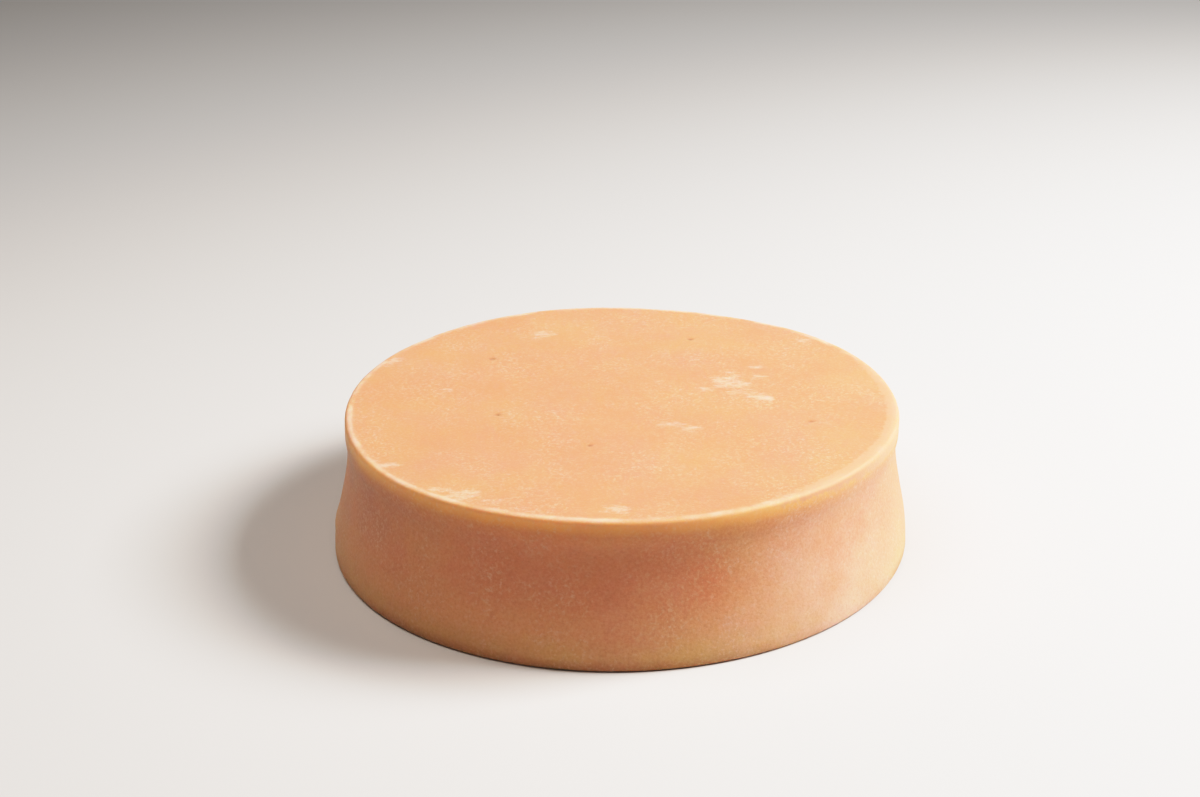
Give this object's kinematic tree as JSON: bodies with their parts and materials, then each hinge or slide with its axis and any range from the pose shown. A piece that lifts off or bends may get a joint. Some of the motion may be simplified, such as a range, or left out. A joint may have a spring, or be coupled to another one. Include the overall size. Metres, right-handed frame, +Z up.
{
  "type": "wheel of mountain cheese",
  "caption": "Whole wheel of mountain cheese with a flat brushed top, a rounded lip, a hollowed heel and a wider foot, under a dry sandy-orange washed rind.",
  "frame": {"origin": "centre of the base, on the surface that the wheel rests on", "axes": "+Z up through the top, the front of the wheel faces -Y, +X to its right as seen from the front"},
  "size_m": [0.4, 0.4, 0.0994],
  "materials": {
    "rind": "dry washed cheese rind, sandy orange on top and salmon round the heel, matt with a pale bloom"
  },
  "bodies": {
    "root": {"cheese_wheel": "rind"}
  },
  "joints": []
}
